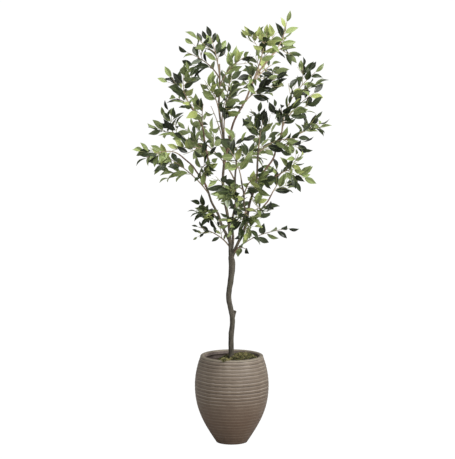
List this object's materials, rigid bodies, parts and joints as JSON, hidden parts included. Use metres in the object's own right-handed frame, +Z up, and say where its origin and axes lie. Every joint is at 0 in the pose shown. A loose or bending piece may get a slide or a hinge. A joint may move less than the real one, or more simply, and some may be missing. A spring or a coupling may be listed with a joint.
{
  "type": "potted laurel tree",
  "caption": "Slender artificial laurel tree with a kinked bare trunk and an open airy crown of leafy sprays, standing in a ribbed egg-shaped planter filled with soil and moss.",
  "frame": {"origin": "centre of the planter's flat underside", "axes": "+Z up along the trunk, -Y towards the front as pictured, +X to the right as seen from the front"},
  "size_m": [0.9711, 0.794, 2.13],
  "materials": {
    "planter": "matte ribbed resin with a weathered stone colour",
    "soil": "dull dark crumbly filling",
    "moss": "dry fibrous moss",
    "bark": "rough grey-brown bark",
    "bough": "smooth thin reddish-grey bark",
    "leaf": "leathery satin leaves on thin twigs"
  },
  "bodies": {
    "root": {"planter": "planter", "soil": "soil", "moss": "moss", "trunk": "bark", "stem_leader": "bough", "stem_right": "bough", "stem_left": "bough", "stem_back": "bough", "stem_front": "bough", "bough_right_peak": "bough", "bough_left_peak": "bough", "bough_right_high": "bough", "bough_left_far": "bough", "bough_left_back": "bough", "bough_right_mid": "bough", "bough_right_far": "bough", "bough_right_low": "bough", "bough_low_right": "bough", "spray_leader_top": "leaf", "spray_leader_left": "leaf", "spray_leader_right": "leaf", "spray_leader_front": "leaf", "spray_leader_mid": "leaf", "spray_leader_inner": "leaf", "spray_leader_back": "leaf", "spray_peak": "leaf", "spray_peak_left": "leaf", "spray_peak_right": "leaf", "spray_peak_low": "leaf", "spray_peak_front": "leaf", "spray_peak_under": "leaf", "spray_left_peak": "leaf", "spray_left_side": "leaf", "spray_left_inner": "leaf", "spray_left_back": "leaf", "spray_left_mid": "leaf", "spray_left_far": "leaf", "spray_left_low": "leaf", "spray_left_front": "leaf", "spray_low_left": "leaf", "spray_sprig_left": "leaf", "spray_right_high": "leaf", "spray_right_side": "leaf", "spray_right_inner": "leaf", "spray_right_far": "leaf", "spray_right_crown": "leaf", "spray_right_shelf": "leaf", "spray_right_mid": "leaf", "spray_right_low": "leaf", "spray_right_under": "leaf", "spray_low_right": "leaf", "spray_fork_front": "leaf", "spray_back_right": "leaf", "spray_back_left": "leaf", "spray_back_top": "leaf", "spray_back_low": "leaf", "spray_front_top": "leaf", "spray_front_left": "leaf", "spray_front_right": "leaf", "spray_front_low": "leaf"}
  },
  "joints": []
}
